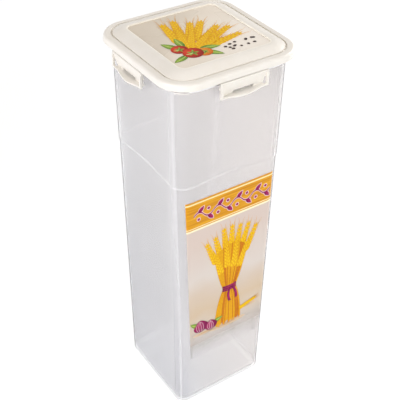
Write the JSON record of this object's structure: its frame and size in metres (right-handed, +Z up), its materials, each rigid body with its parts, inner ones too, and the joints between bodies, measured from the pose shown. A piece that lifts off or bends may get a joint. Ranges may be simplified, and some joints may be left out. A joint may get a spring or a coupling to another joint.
{
  "type": "food canister",
  "caption": "Tall square tapered food canister in translucent plastic, with a snap lid, a sealing ring and hinged locking flaps, for dry food such as long pasta.",
  "frame": {"origin": "on the table, under the middle of the base", "axes": "+Z up, -Y the front with the label, -X the left side"},
  "size_m": [0.1086, 0.1086, 0.3],
  "materials": {
    "clear_pp": "translucent natural polypropylene, lightly polished",
    "lid_pp": "warm white moulded polypropylene",
    "silicone": "milky silicone",
    "label_print": "printed film",
    "lid_print": "printed film"
  },
  "bodies": {
    "canister": {"canister_body": "clear_pp", "body_label": "label_print"},
    "lid": {"lid": "lid_pp", "lid_gasket": "silicone", "lid_panel_film": "lid_print"},
    "flap_front": {"flap_front": "lid_pp"},
    "flap_right": {"flap_right": "lid_pp"},
    "flap_back": {"flap_back": "lid_pp"},
    "flap_left": {"flap_left": "lid_pp"}
  },
  "joints": [
    {"name": "lid_lift", "type": "slide", "parent": "canister", "child": "lid", "axis": [0, 0, 1], "range_m": [0, 0.06]},
    {"name": "flap_front_hinge", "type": "hinge", "parent": "lid", "child": "flap_front", "pos_m": [0.0012, -0.0502, 0.2915], "axis": [-1, 0, 0], "range_deg": [0, 110]},
    {"name": "flap_right_hinge", "type": "hinge", "parent": "lid", "child": "flap_right", "pos_m": [0.0502, 0.0045, 0.2915], "axis": [0, -1, 0], "range_deg": [0, 110]},
    {"name": "flap_back_hinge", "type": "hinge", "parent": "lid", "child": "flap_back", "pos_m": [0.0012, 0.0502, 0.2915], "axis": [1, 0, 0], "range_deg": [0, 110]},
    {"name": "flap_left_hinge", "type": "hinge", "parent": "lid", "child": "flap_left", "pos_m": [-0.0502, 0.0045, 0.2915], "axis": [0, 1, 0], "range_deg": [0, 110]}
  ]
}
